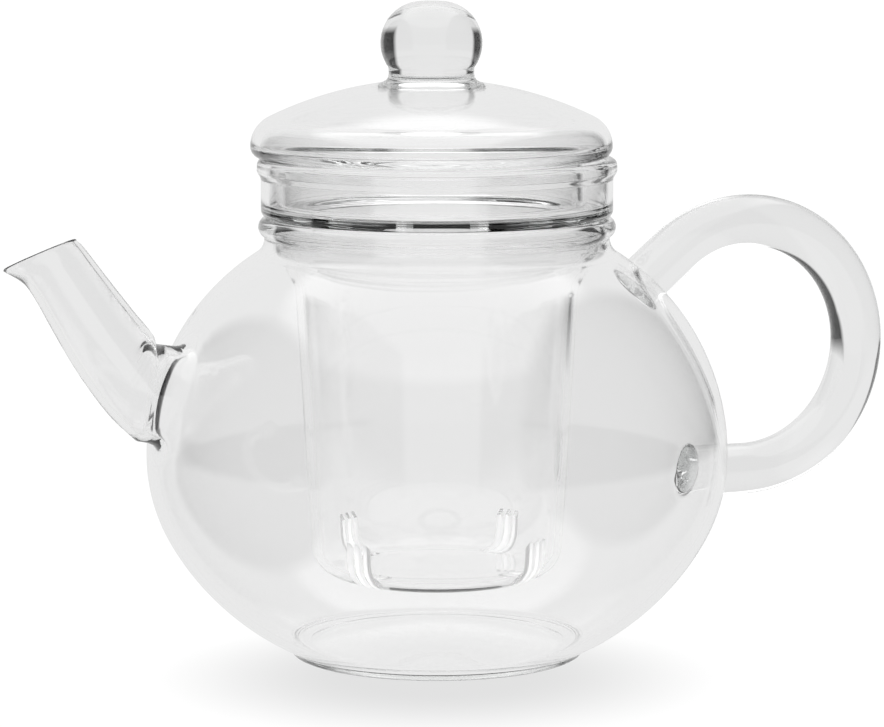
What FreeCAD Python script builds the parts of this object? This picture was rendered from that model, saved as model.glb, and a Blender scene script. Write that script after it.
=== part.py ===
import FreeCAD, Part
import Sketcher
import math
import os
import re

# Borosilicate glass teapot with a lift-out glass infuser and a domed glass lid.
# Millimetres. The origin is on the pot's axis, on the surface that it stands on; +Z is up,
# the handle points along +X and the spout along -X. Outlines are drawn as (radius, height).

os.makedirs("parts", exist_ok=True)
doc = FreeCAD.newDocument("teapot")
Vector = FreeCAD.Vector
Rotation = FreeCAD.Rotation
Z_AXIS = Vector(0, 0, 1)
Y_AXIS = Vector(0, 1, 0)
BULGE_OUT = 1
BULGE_IN = -1

SIZES = {
    # blown pot: foot, belly, shoulder, neck and rim
    "pot_wall": 2.2, "foot_radius": 37.2, "foot_height": 1.4, "foot_chamfer": 0.5,
    "recess_radius": 32.5, "recess_depth": 0.9, "floor_edge": 35.6,
    "belly_radius": 73.4, "belly_height": 51.0, "lower_bend": 44.0, "lower_turn": 30.0,
    "under_bend": 67.5, "upper_bend": 60.5, "shoulder_radius": 45.52, "shoulder_height": 101.955,
    "neck_bend": 4.6, "neck_radius": 43.4, "neck_height": 105.83,
    "rim_low": 106.3, "rim_top": 111.0, "rim_bead": 2.6, "rim_chamfer": 0.8,
    # collar pulled out of the pot's wall, and the spout welded to it
    "collar_reach": 77.5, "collar_height": 70.7, "collar_lean": 70.0,
    "collar_tall": 24.6, "collar_wide": 20.4, "collar_depth": 18.0, "spout_wall": 1.8,
    "stem_reach": 70.0, "stem_height": 60.0, "stem_lean": 36.0,
    "stem_start": 10.6, "stem_end": 8.3, "stem_length": 52.0,
    "lip_reach": 97.0, "lip_height": 98.2, "lip_lean": 40.0,
    "lip_start": 8.4, "lip_end": 11.0, "lip_length": 14.0,
    "mouth_reach": 103.5, "mouth_height": 105.3, "mouth_lean": 19.8, "trim_size": 60.0,
    # handle: a round solid rod bent into a loop
    "loop_reach": 86.4, "loop_height": 74.4, "loop_bend": 32.6, "loop_start": 130.0,
    "rod_width": 13.2, "upper_limb": 21.0, "lower_limb_end": 66.0,
    # infuser: beaker, plug that fills the neck, and cuff that stands on the rim
    "glass_wall": 2.0, "seat_gap": 0.2, "beaker_floor": 20.0, "beaker_corner": 7.0,
    "beaker_foot": 31.4, "beaker_top": 35.6, "beaker_rise": 94.0, "waist_bend": 4.5,
    "step_radius": 37.6, "step_height": 97.75, "step_turn": 56.0, "step_bend": 6.3,
    "plug_radius": 40.4, "plug_height": 103.0, "plug_fillet": 1.0,
    "cuff_radius": 44.2, "cuff_corner": 1.8, "cuff_height": 121.4, "cuff_bead": 2.5,
    "lip_radius": 43.6, "cuff_top": 125.8, "cuff_chamfer": 0.6,
    "infuser_turn": 29.5, "slit_width": 1.1, "slit_pitch": 2.6, "blade_radius": 23.5,
    "blade_reach": 43.5, "blade_height": 11.5,
    # lid: dome folded round the brim and down into a skirt
    "lid_wall": 2.4, "dome_top": 145.5, "dome_bend": 93.6, "brim_start": 40.8,
    "brim_bend": 8.0, "brim_radius": 45.4, "brim_height": 128.9, "hem_radius": 42.9,
    "hem_height": 126.1, "hem_bend": 2.9, "skirt_radius": 38.75, "skirt_fillet": 1.0,
    "skirt_bottom": 114.2, "lid_play_x": -1.3, "lid_play_y": 0.5,
    # knob: a solid ball on a short waist
    "ball_bend": 10.45, "ball_offset": 2.3, "ball_height": 154.6, "ball_start": 148.4,
    "waist_radius": 10.7, "waist_height": 147.3, "flare_radius": 13.8, "flare_bend": 4.2,
}

sheet = doc.addObject("Spreadsheet::Sheet", "sizes")
for row, (alias, value) in enumerate(SIZES.items(), start=1):
    sheet.set(f"A{row}", alias)
    sheet.set(f"B{row}", str(value))
    sheet.setAlias(f"B{row}", alias)
doc.recompute()
PREFIX = {alias: f"sizes.{alias}" for alias in SIZES}


def measure(formula):
    """The number that a formula of the sheet's aliases gives."""
    return float(sheet.evalExpression(formula))


def bound(formula):
    """The formula with each alias written as an expression of the sheet."""
    return re.sub("[a-z_]+", lambda word: PREFIX.get(word[0], word[0]), formula)


def plane(body, role):
    """One of a body's own origin planes."""
    return next(item for item in body.Origin.OriginFeatures if item.Role == role)


def new_sketch(body, name, role, turn=0.0, axis=Y_AXIS, **shift):
    """A sketch on an origin plane; shift holds formulas for its offset along x, y and z."""
    sketch = body.newObject("Sketcher::SketchObject", name)
    sketch.AttachmentSupport = [(plane(body, role), "")]
    sketch.MapMode = "FlatFace"
    sketch.AttachmentOffset = FreeCAD.Placement(Vector(), Rotation(axis, turn))
    for direction, formula in shift.items():
        sketch.setExpression(f"AttachmentOffset.Base.{direction}", bound(formula))
    return sketch


def hold(sketch, constraint, formula):
    """Adds a dimension and binds it to the sheet."""
    index = sketch.addConstraint(constraint)
    sketch.setExpression(f"Constraints[{index}]", bound(formula))


def arc_middle(start, end, radius, side):
    """The middle of the shorter arc, which bulges to the right of the way from start to end."""
    chord = end - start
    half = chord.Length / 2
    rise = radius - math.sqrt(radius * radius - half * half)
    right = Vector(chord.y, -chord.x, 0).normalize()
    return (start + end) * 0.5 + right * (rise * side)


def add_segment(sketch, start, end, bend):
    """Adds a line or an arc; returns its index and which of its ends is the start."""
    if not bend:
        return sketch.addGeometry(Part.LineSegment(start, end)), 1, 2
    side, formula = bend
    middle = arc_middle(start, end, measure(formula), side)
    if side == BULGE_OUT:
        return sketch.addGeometry(Part.Arc(start, middle, end)), 1, 2
    return sketch.addGeometry(Part.Arc(end, middle, start)), 2, 1


def fix_corner(sketch, segment, end, radius, height):
    """Holds one corner of an outline at its radius and height."""
    for formula, kind, axis in ((radius, "DistanceX", -2), (height, "DistanceY", -1)):
        if formula == "0":
            sketch.addConstraint(Sketcher.Constraint("PointOnObject", segment, end, axis))
        else:
            value = measure(formula)
            hold(sketch, Sketcher.Constraint(kind, -1, 1, segment, end, value), formula)


def draw_outline(sketch, corners):
    """A closed outline. A corner is (radius, height) or (radius, height, side, bend radius),
    where the bend is the arc that leads to the next corner. A bend that meets the axis is
    centred on it."""
    points = [Vector(measure(corner[0]), measure(corner[1]), 0) for corner in corners]
    ends = points[1:] + points[:1]
    segments = [
        add_segment(sketch, start, end, corner[2:])
        for start, end, corner in zip(points, ends, corners)
    ]
    followers = segments[1:] + segments[:1]
    for (index, first, last), (follower, follower_first, _) in zip(segments, followers):
        sketch.addConstraint(
            Sketcher.Constraint("Coincident", index, last, follower, follower_first)
        )
    next_corners = corners[1:] + corners[:1]
    for (index, first, _), corner, next_corner in zip(segments, corners, next_corners):
        fix_corner(sketch, index, first, corner[0], corner[1])
        if not corner[2:]:
            continue
        if "0" in (corner[0], next_corner[0]):
            sketch.addConstraint(Sketcher.Constraint("PointOnObject", index, 3, -2))
        else:
            radius = Sketcher.Constraint("Radius", index, measure(corner[3]))
            hold(sketch, radius, corner[3])


def turned(label, corners):
    """A body revolved about the pot's axis from a closed outline."""
    body = doc.addObject("PartDesign::Body", label)
    sketch = new_sketch(body, f"{label}_outline", "XZ_Plane")
    draw_outline(sketch, corners)
    turn = body.newObject("PartDesign::Revolution", f"{label}_turn")
    turn.Profile = sketch
    turn.ReferenceAxis = (sketch, ["V_Axis"])
    turn.Angle = 360
    body.Tip = turn
    return body


def collar_block(label, tall, wide):
    """An oval block from the weld plane, through the pot's wall, into the belly."""
    body = doc.addObject("PartDesign::Body", label)
    shift = {"x": "collar_reach", "z": "collar_height"}
    sketch = new_sketch(body, f"{label}_oval", "XY_Plane", measure("collar_lean"), **shift)
    sketch.setExpression("AttachmentOffset.Rotation.Angle", bound("collar_lean"))
    long_axis = Vector(measure(tall) / 2, 0, 0)
    short_axis = Vector(0, measure(wide) / 2, 0)
    ellipse = sketch.addGeometry(Part.Ellipse(long_axis, short_axis, Vector()))
    sketch.exposeInternalGeometry(ellipse)
    sketch.addConstraint(Sketcher.Constraint("Coincident", ellipse, 3, -1, 1))
    sketch.addConstraint(Sketcher.Constraint("Horizontal", ellipse + 1))
    hold(sketch, Sketcher.Constraint("Distance", ellipse + 1, measure(tall)), tall)
    hold(sketch, Sketcher.Constraint("Distance", ellipse + 2, measure(wide)), wide)
    pad = body.newObject("PartDesign::Pad", f"{label}_pad")
    pad.Profile = sketch
    pad.Reversed = True
    pad.setExpression("Length", bound("collar_depth"))
    body.Tip = pad
    return body


def face_about(body):
    """Turns a body drawn towards +X to point towards -X."""
    body.Placement = FreeCAD.Placement(Vector(), Rotation(Z_AXIS, 180))


def boolean(kind, label, base, tool):
    """A Part::Fuse or a Part::Cut of two objects."""
    result = doc.addObject(f"Part::{kind}", label)
    result.Base = base
    result.Tool = tool
    return result


# --- Pot: the blown form, less its inside, with a collar pulled out for the spout ---

UPPER_CENTRE = "(belly_radius - upper_bend)"
LOWER_CENTRE = "(belly_radius - lower_bend)"
INNER_SHARE = "(upper_bend - pot_wall) / upper_bend"
INNER_NECK = "neck_radius - pot_wall"

POT_OUTSIDE = [
    ("0", "recess_depth"),
    ("recess_radius", "recess_depth"),
    ("recess_radius + recess_depth", "0"),
    ("foot_radius - foot_chamfer", "0"),
    ("foot_radius", "foot_chamfer"),
    ("foot_radius", "foot_height", BULGE_OUT, "under_bend"),
    (
        f"{LOWER_CENTRE} + lower_bend * cos(lower_turn * 1deg)",
        "belly_height - lower_bend * sin(lower_turn * 1deg)",
        BULGE_OUT,
        "lower_bend",
    ),
    ("belly_radius", "belly_height", BULGE_OUT, "upper_bend"),
    ("shoulder_radius", "shoulder_height", BULGE_IN, "neck_bend"),
    ("neck_radius", "neck_height"),
    ("neck_radius", "rim_low", BULGE_OUT, "rim_bead"),
    ("neck_radius", "rim_top"),
    ("0", "rim_top"),
]

POT_INSIDE = [
    ("0", "recess_depth + pot_wall"),
    ("floor_edge", "recess_depth + pot_wall", BULGE_OUT, "under_bend - pot_wall"),
    (
        f"{LOWER_CENTRE} + (lower_bend - pot_wall) * cos(lower_turn * 1deg)",
        "belly_height - (lower_bend - pot_wall) * sin(lower_turn * 1deg)",
        BULGE_OUT,
        "lower_bend - pot_wall",
    ),
    ("belly_radius - pot_wall", "belly_height", BULGE_OUT, "upper_bend - pot_wall"),
    (
        f"{UPPER_CENTRE} + {INNER_SHARE} * (shoulder_radius - {UPPER_CENTRE})",
        f"belly_height + {INNER_SHARE} * (shoulder_height - belly_height)",
        BULGE_IN,
        "neck_bend + pot_wall",
    ),
    (INNER_NECK, "neck_height"),
    (INNER_NECK, "rim_top - rim_chamfer"),
    (f"{INNER_NECK} + rim_chamfer * 2", "rim_top + rim_chamfer"),
    ("0", "rim_top + rim_chamfer"),
]


def make_pot(blown_form):
    """The belly, neck, rim and foot in one wall, open at the neck and at the pour hole."""
    inside = turned("pot_inside", POT_INSIDE)
    collar = collar_block("collar_form", "collar_tall", "collar_wide")
    bore = collar_block(
        "collar_bore", "collar_tall - 2 * spout_wall", "collar_wide - 2 * spout_wall"
    )
    face_about(collar)
    face_about(bore)
    solid = boolean("Fuse", "pot_solid", blown_form, collar)
    hollow = boolean("Fuse", "pot_hollow", inside, bore)
    return boolean("Cut", "pot_body", solid, hollow)


# --- Spout: a tapering tube with a flared lip, from the collar's weld to a slanted mouth ---


def stand(item, place):
    """Places a primitive at a place's reach and height, leaning by its lean."""
    item.Placement = FreeCAD.Placement(Vector(), Rotation(Y_AXIS, measure(f"{place}_lean")))
    item.setExpression("Placement.Base.x", bound(f"{place}_reach"))
    item.setExpression("Placement.Base.z", bound(f"{place}_height"))
    item.setExpression("Placement.Rotation.Angle", bound(f"{place}_lean"))


def spout_cone(label, place, trim):
    """One taper of the spout, narrower all round by the trim."""
    cone = doc.addObject("Part::Cone", label)
    cone.setExpression("Radius1", bound(f"{place}_start - {trim}"))
    cone.setExpression("Radius2", bound(f"{place}_end - {trim}"))
    cone.setExpression("Height", bound(f"{place}_length"))
    stand(cone, place)
    return cone


def trimming_box(label, place, side):
    """A large box on one side of a slanted plane."""
    box = doc.addObject("Part::Box", label)
    box.Length = box.Width = box.Height = measure("trim_size")
    middle = Vector(-box.Length.Value / 2, -box.Width.Value / 2, 0)
    if side < 0:
        middle.z = -box.Height.Value
    tilt = Rotation(Y_AXIS, measure(f"{place}_lean"))
    corner = Vector(measure(f"{place}_reach"), 0, measure(f"{place}_height"))
    box.Placement = FreeCAD.Placement(corner + tilt.multVec(middle), tilt)
    return box


def make_spout():
    """The spout, drawn towards +X and then turned about."""
    stem = spout_cone("stem_form", "stem", "0")
    lip = spout_cone("lip_form", "lip", "0")
    stem_bore = spout_cone("stem_bore", "stem", "spout_wall")
    lip_bore = spout_cone("lip_bore", "lip", "spout_wall")
    outside = boolean("Fuse", "spout_outside", stem, lip)
    bore = boolean("Fuse", "spout_bore", stem_bore, lip_bore)
    tube = boolean("Cut", "spout_tube", outside, bore)
    open_mouth = boolean("Cut", "spout_mouth", tube, trimming_box("mouth_trim", "mouth", 1))
    spout = boolean("Cut", "pour_spout", open_mouth, trimming_box("weld_trim", "collar", -1))
    face_about(spout)
    return spout


# --- Handle: a rod swept along two straight limbs and an arc, trimmed by the pot ---


def make_handle(blown_form):
    """The looped handle, whose limbs end on the belly's outer face."""
    body = doc.addObject("PartDesign::Body", "handle_rod")
    path = new_sketch(body, "rod_path", "XZ_Plane")
    start = math.radians(measure("loop_start"))
    centre = Vector(measure("loop_reach"), measure("loop_height"), 0)
    bend = measure("loop_bend")
    top = centre + Vector(math.cos(start), math.sin(start), 0) * bend
    bottom = centre - Vector(0, bend, 0)
    upper_end = top + Vector(-math.sin(start), math.cos(start), 0) * measure("upper_limb")
    lower_end = Vector(measure("lower_limb_end"), bottom.y, 0)
    circle = Part.Circle(centre, Z_AXIS, bend)
    arc = path.addGeometry(Part.ArcOfCircle(circle, -math.pi / 2, start))
    upper = path.addGeometry(Part.LineSegment(top, upper_end))
    lower = path.addGeometry(Part.LineSegment(lower_end, bottom))
    path.addConstraint(Sketcher.Constraint("Tangent", arc, 2, upper, 1))
    path.addConstraint(Sketcher.Constraint("Tangent", lower, 2, arc, 1))
    path.addConstraint(Sketcher.Constraint("Horizontal", lower))
    hold(path, Sketcher.Constraint("DistanceX", -1, 1, arc, 3, centre.x), "loop_reach")
    hold(path, Sketcher.Constraint("DistanceY", -1, 1, arc, 3, centre.y), "loop_height")
    hold(path, Sketcher.Constraint("Radius", arc, bend), "loop_bend")
    hold(path, Sketcher.Constraint("Distance", upper, measure("upper_limb")), "upper_limb")
    end_reach = Sketcher.Constraint("DistanceX", -1, 1, lower, 1, lower_end.x)
    hold(path, end_reach, "lower_limb_end")
    top_height = "loop_height + loop_bend * sin(loop_start * 1deg)"
    hold(path, Sketcher.Constraint("DistanceY", -1, 1, arc, 2, top.y), top_height)
    section = new_sketch(
        body, "rod_section", "YZ_Plane", y="loop_height - loop_bend", z="lower_limb_end"
    )
    section.addGeometry(Part.Circle(Vector(), Z_AXIS, measure("rod_width / 2")))
    section.addConstraint(Sketcher.Constraint("Coincident", 0, 3, -1, 1))
    hold(section, Sketcher.Constraint("Diameter", 0, measure("rod_width")), "rod_width")
    doc.recompute()
    rod = body.newObject("PartDesign::AdditivePipe", "rod_sweep")
    rod.Profile = section
    rod.Spine = (path, [f"Edge{number}" for number in range(1, 4)])
    body.Tip = rod
    return boolean("Cut", "loop_handle", body, blown_form)


# --- Infuser: one wall from the beaker up to the cuff, sawn through at its foot ---

INFUSER_WALL = [
    ("0", "beaker_floor"),
    ("beaker_foot - beaker_corner", "beaker_floor", BULGE_OUT, "beaker_corner"),
    ("beaker_foot", "beaker_floor + beaker_corner"),
    ("beaker_top", "beaker_rise", BULGE_IN, "waist_bend"),
    ("step_radius", "step_height", BULGE_OUT, "step_bend"),
    ("plug_radius", "plug_height"),
    ("plug_radius", "rim_top + seat_gap - plug_fillet", BULGE_IN, "plug_fillet"),
    ("plug_radius + plug_fillet", "rim_top + seat_gap"),
    ("cuff_radius - cuff_corner", "rim_top + seat_gap", BULGE_OUT, "cuff_corner"),
    ("cuff_radius", "rim_top + seat_gap + cuff_corner"),
    ("cuff_radius", "cuff_height", BULGE_OUT, "cuff_bead"),
    ("lip_radius", "cuff_top"),
    ("cuff_radius - glass_wall + cuff_chamfer", "cuff_top"),
    ("cuff_radius - glass_wall", "cuff_top - cuff_chamfer"),
    ("cuff_radius - glass_wall", "rim_top + glass_wall + cuff_chamfer"),
    ("cuff_radius - glass_wall - cuff_chamfer", "rim_top + glass_wall"),
    ("plug_radius - glass_wall + plug_fillet", "rim_top + glass_wall"),
    ("plug_radius - glass_wall", "rim_top + glass_wall - plug_fillet"),
    ("plug_radius - glass_wall", "plug_height", BULGE_IN, "step_bend - glass_wall"),
    (
        "step_radius - glass_wall * cos(step_turn * 1deg)",
        "step_height + glass_wall * sin(step_turn * 1deg)",
        BULGE_OUT,
        "waist_bend + glass_wall",
    ),
    ("beaker_top - glass_wall", "beaker_rise"),
    (
        "beaker_foot - glass_wall",
        "beaker_floor + beaker_corner",
        BULGE_IN,
        "beaker_corner - glass_wall",
    ),
    ("beaker_foot - beaker_corner", "beaker_floor + glass_wall"),
    ("0", "beaker_floor + glass_wall"),
]
CUTS_IN_GROUP = 3
GROUPS = 4


def saw_slits(body, uncut):
    """Four groups of three parallel saw cuts through the beaker's lower corner."""
    sketch = new_sketch(body, "saw_blade", "XZ_Plane", z="slit_pitch")
    blade = Vector(measure("blade_reach"), measure("blade_height"), 0)
    sketch.addGeometry(Part.Circle(blade, Z_AXIS, measure("blade_radius")))
    hold(sketch, Sketcher.Constraint("DistanceX", -1, 1, 0, 3, blade.x), "blade_reach")
    hold(sketch, Sketcher.Constraint("DistanceY", -1, 1, 0, 3, blade.y), "blade_height")
    hold(sketch, Sketcher.Constraint("Radius", 0, measure("blade_radius")), "blade_radius")
    cut = body.newObject("PartDesign::Pocket", "saw_cut")
    cut.Profile = sketch
    cut.SideType = "Symmetric"
    cut.setExpression("Length", bound("slit_width"))
    body.Tip = cut
    doc.recompute()
    one_cut = uncut - body.Shape.Volume
    pattern = body.newObject("PartDesign::MultiTransform", "saw_cuts")
    pattern.Originals = [cut]
    row = body.newObject("PartDesign::LinearPattern", "cuts_in_group")
    row.Direction = (sketch, ["N_Axis"])
    row.Reversed = True
    row.setExpression("Length", bound(f"slit_pitch * {CUTS_IN_GROUP - 1}"))
    row.Occurrences = CUTS_IN_GROUP
    ring = body.newObject("PartDesign::PolarPattern", "groups_of_cuts")
    ring.Axis = (body.Origin.OriginFeatures[2], [""])
    ring.Angle = 360
    ring.Occurrences = GROUPS
    pattern.Transformations = [row, ring]
    body.Tip = pattern
    doc.recompute()
    removed = uncut - body.Shape.Volume
    print(f"one slit {one_cut:.1f} mm3, all slits {removed:.1f} mm3")
    if not one_cut * 11 < removed < one_cut * 13:
        raise RuntimeError("the saw cuts don't all go through the beaker")


def make_infuser():
    """The infuser, turned a little so that its slits lie across the pot's axes."""
    body = turned("infuser", INFUSER_WALL)
    doc.recompute()
    saw_slits(body, body.Shape.Volume)
    body.Placement = FreeCAD.Placement(Vector(), Rotation(Z_AXIS, measure("infuser_turn")))
    return body


# --- Lid: a dome folded round its brim and down into a skirt, and a solid knob ---

DOME_CENTRE = "(dome_top - dome_bend)"
BRIM_CENTRE = "(brim_radius - brim_bend)"
BRIM_SHARE = "(brim_bend - lid_wall) / brim_bend"
BRIM_START_HEIGHT = f"{DOME_CENTRE} + sqrt(dome_bend ^ 2 - brim_start ^ 2)"

LID_WALL = [
    ("skirt_radius - glass_wall", "skirt_bottom"),
    ("skirt_radius", "skirt_bottom"),
    ("skirt_radius", "hem_height - skirt_fillet", BULGE_IN, "skirt_fillet"),
    ("skirt_radius + skirt_fillet", "hem_height"),
    ("hem_radius", "hem_height", BULGE_OUT, "hem_bend"),
    ("brim_radius", "brim_height", BULGE_OUT, "brim_bend"),
    ("brim_start", BRIM_START_HEIGHT, BULGE_OUT, "dome_bend"),
    ("0", "dome_top"),
    ("0", "dome_top - lid_wall", BULGE_IN, "dome_bend - lid_wall"),
    (
        f"{BRIM_CENTRE} + {BRIM_SHARE} * (brim_start - {BRIM_CENTRE})",
        f"brim_height + {BRIM_SHARE} * ({BRIM_START_HEIGHT} - brim_height)",
        BULGE_IN,
        "brim_bend - lid_wall",
    ),
    ("brim_radius - lid_wall", "brim_height"),
    ("brim_radius - lid_wall", "hem_height + lid_wall"),
    ("skirt_radius - glass_wall + skirt_fillet", "hem_height + lid_wall"),
    ("skirt_radius - glass_wall", "hem_height + lid_wall - skirt_fillet"),
]

KNOB_SOLID = [
    ("0", "dome_top", BULGE_IN, "dome_bend"),
    (
        "flare_radius",
        f"{DOME_CENTRE} + sqrt(dome_bend ^ 2 - flare_radius ^ 2)",
        BULGE_IN,
        "flare_bend",
    ),
    ("waist_radius", "waist_height"),
    ("waist_radius", "ball_start", BULGE_OUT, "ball_bend"),
    ("ball_offset", "ball_height + ball_bend"),
    ("0", "ball_height + ball_bend"),
]


def let_rest(part):
    """Moves a part of the lid within the play that its skirt has in the cuff."""
    part.setExpression("Placement.Base.x", bound("lid_play_x"))
    part.setExpression("Placement.Base.y", bound("lid_play_y"))
    return part


def check(parts):
    """Stops if any object failed, or if a sub-part isn't one valid solid."""
    for item in doc.Objects:
        if "Invalid" in item.State or "Error" in item.State:
            raise RuntimeError(f"{item.Label} is {item.State}")
    for part in parts:
        shape = part.Shape
        if shape.isNull() or not shape.isValid():
            raise RuntimeError(f"{part.Label} has no valid shape")
        if len(shape.Solids) != 1:
            raise RuntimeError(f"{part.Label} has {len(shape.Solids)} solids")
        if min(face.Area for face in shape.Faces) < 0.01:
            raise RuntimeError(f"{part.Label} has a face with no area")


blown_form = turned("blown_form", POT_OUTSIDE)
parts = [
    make_pot(blown_form),
    make_spout(),
    make_handle(blown_form),
    make_infuser(),
    let_rest(turned("lid_dome", LID_WALL)),
    let_rest(turned("lid_knob", KNOB_SOLID)),
]
doc.recompute()
check(parts)
for part in parts:
    part.Shape.exportStep(f"parts/{part.Label}.step")
    box = part.Shape.BoundBox
    print(
        f"{part.Label}: {part.Shape.Volume / 1000:.1f} cm3, x {box.XMin:.1f} to {box.XMax:.1f}, "
        f"y {box.YMin:.1f} to {box.YMax:.1f}, z {box.ZMin:.1f} to {box.ZMax:.1f}"
    )
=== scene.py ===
"""Clear glass teapot with a lift-out glass infuser and a domed glass lid, on a glowing white table with
a painted shadow under it.

Outlines are in millimetres as (radius, height) about the pot's axis; objects are in metres.
"""

import math

import bmesh
import bpy
import numpy as np
from bpy.props import FloatProperty, FloatVectorProperty, IntProperty, PointerProperty
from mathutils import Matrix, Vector


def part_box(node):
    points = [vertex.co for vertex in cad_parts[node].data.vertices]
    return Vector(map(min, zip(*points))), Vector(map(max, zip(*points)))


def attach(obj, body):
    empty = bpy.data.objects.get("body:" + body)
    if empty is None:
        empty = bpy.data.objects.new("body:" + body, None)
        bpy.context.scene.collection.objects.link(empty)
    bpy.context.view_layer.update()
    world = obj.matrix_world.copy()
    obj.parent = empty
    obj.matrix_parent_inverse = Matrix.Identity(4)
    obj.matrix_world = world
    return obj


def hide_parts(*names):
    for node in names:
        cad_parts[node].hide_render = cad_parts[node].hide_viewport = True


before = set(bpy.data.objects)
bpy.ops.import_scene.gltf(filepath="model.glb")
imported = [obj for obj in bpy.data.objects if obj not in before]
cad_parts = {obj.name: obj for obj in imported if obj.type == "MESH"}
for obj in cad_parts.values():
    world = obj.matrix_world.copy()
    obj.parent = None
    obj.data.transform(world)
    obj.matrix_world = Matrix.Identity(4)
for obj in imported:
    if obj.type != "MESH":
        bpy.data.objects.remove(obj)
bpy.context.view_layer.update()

bl_info = {
    "name": "Glass Teapot",
    "version": (1, 0, 0),
    "blender": (4, 5, 0),
    "location": "View3D > Sidebar > Teapot",
    "description": "Builds a blown glass teapot with its infuser, its lid and a lit table",
    "category": "Object",
}

MM = 0.001


# --- Outlines and shells ---


def node_box(node):
    """A CAD node's lowest and highest corners, in millimetres."""
    low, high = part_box(node)
    return np.array(low) / MM, np.array(high) / MM


def unit(vector):
    """The vector at length one."""
    return vector / np.linalg.norm(vector)


def arc(centre, bend, start, end, step=4.0):
    """Points of an arc about (radius, height), from one angle to another in degrees."""
    count = max(2, round(abs(end - start) / step) + 1)
    turns = np.radians(np.linspace(start, end, count))
    return [(centre[0] + bend * math.cos(turn), centre[1] + bend * math.sin(turn)) for turn in turns]


def softened(corners, step=15.0):
    """An open outline whose inner corners (radius, height, bend) are rounded off."""
    outline = [corners[0][:2]]
    for before, corner, after in zip(corners, corners[1:], corners[2:]):
        if len(corner) < 3:
            outline.append(corner)
            continue
        point = np.array(corner[:2])
        back = unit(np.array(before[:2]) - point)
        ahead = unit(np.array(after[:2]) - point)
        half = math.acos(np.clip(back @ ahead, -1.0, 1.0)) / 2
        centre = point + unit(back + ahead) * corner[2] / math.sin(half)
        reach = corner[2] / math.tan(half)
        first = point + back * reach - centre
        last = point + ahead * reach - centre
        sweep = math.atan2(first[0] * last[1] - first[1] * last[0], first @ last)
        for share in np.linspace(0, 1, max(2, round(math.degrees(abs(sweep)) / step)) + 1):
            turn = sweep * share
            turned = (
                first[0] * math.cos(turn) - first[1] * math.sin(turn),
                first[0] * math.sin(turn) + first[1] * math.cos(turn),
            )
            outline.append((centre[0] + turned[0], centre[1] + turned[1]))
    outline.append(corners[-1][:2])
    return outline


def eased(outline, longest=3.0):
    """The outline with extra points where a long run meets a short one."""
    points = [np.array(point) for point in outline]
    gaps = [np.linalg.norm(b - a) for a, b in zip(points, points[1:])]
    result = [points[0]]
    for index, (start, end) in enumerate(zip(points, points[1:])):
        run = gaps[index]
        before = gaps[index - 1] if index else run
        after = gaps[index + 1] if index + 1 < len(gaps) else run
        marks = [mark for mark in (before, run - after) if 0.02 < mark < run - 0.02]
        if run <= 2.2 * min(before, after):
            marks = []
        stops = [0.0, *sorted(marks), run]
        for low, high in zip(stops, stops[1:]):
            pieces = max(1, math.ceil((high - low) / longest))
            result += [
                start + (end - start) * (low + (high - low) * (k + 1) / pieces) / run
                for k in range(pieces)
            ]
    return [tuple(point) for point in result]


class Shell:
    """The points and faces of one closed glass form, in millimetres."""

    def __init__(self, turns):
        self.turns = turns
        self.points = []
        self.faces = []

    def ring(self, points):
        """Adds points and returns their numbers."""
        start = len(self.points)
        self.points += [tuple(point) for point in points]
        return list(range(start, len(self.points)))

    def hoop(self, radius, height):
        """A level ring about the axis, or one point on it."""
        if radius < 1e-6:
            return self.ring([(0.0, 0.0, height)])
        steps = np.arange(self.turns) * 2 * math.pi / self.turns
        return self.ring((radius * math.cos(a), radius * math.sin(a), height) for a in steps)

    def bridge(self, lower, upper, left_out=()):
        """Faces between two rings, or between a ring and a point."""
        if len(lower) == 1 or len(upper) == 1:
            point, ring = (lower[0], upper) if len(lower) == 1 else (upper[0], lower)
            self.faces += [(point, a, b) for a, b in zip(ring, ring[1:] + ring[:1])]
            return
        sides = len(lower)
        for side in range(sides):
            if side in left_out:
                continue
            after = (side + 1) % sides
            self.faces.append((lower[side], lower[after], upper[after], upper[side]))

    def string(self, rings):
        """Bridges each ring to the next."""
        for lower, upper in zip(rings, rings[1:]):
            self.bridge(lower, upper)

    def move(self, place):
        """Moves every point sideways, from the pot's axis to another upright one."""
        self.points = [(x + place[0], y + place[1], z) for x, y, z in self.points]

    def make(self, name, material):
        """The finished, smooth, closed mesh object."""
        used = sorted({index for face in self.faces for index in face})
        renumber = {old: new for new, old in enumerate(used)}
        mesh = bpy.data.meshes.new(name)
        points = [np.array(self.points[index]) * MM for index in used]
        faces = [[renumber[index] for index in face] for face in self.faces]
        mesh.from_pydata(points, [], faces)
        mesh.materials.append(material)
        item = bpy.data.objects.new(name, mesh)
        bpy.context.scene.collection.objects.link(item)
        face_outwards(mesh)
        mesh.shade_smooth()
        return item


def face_outwards(mesh):
    """Turns every face of a closed mesh to face out."""
    form = bmesh.new()
    form.from_mesh(mesh)
    bmesh.ops.recalc_face_normals(form, faces=form.faces)
    open_edges = [edge for edge in form.edges if len(edge.link_faces) != 2]
    form.to_mesh(mesh)
    form.free()
    if open_edges:
        raise RuntimeError(f"{mesh.name} has {len(open_edges)} open edges")


# --- The pot's belly, as a run of arcs measured along its outline from the widest ring ---


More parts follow.
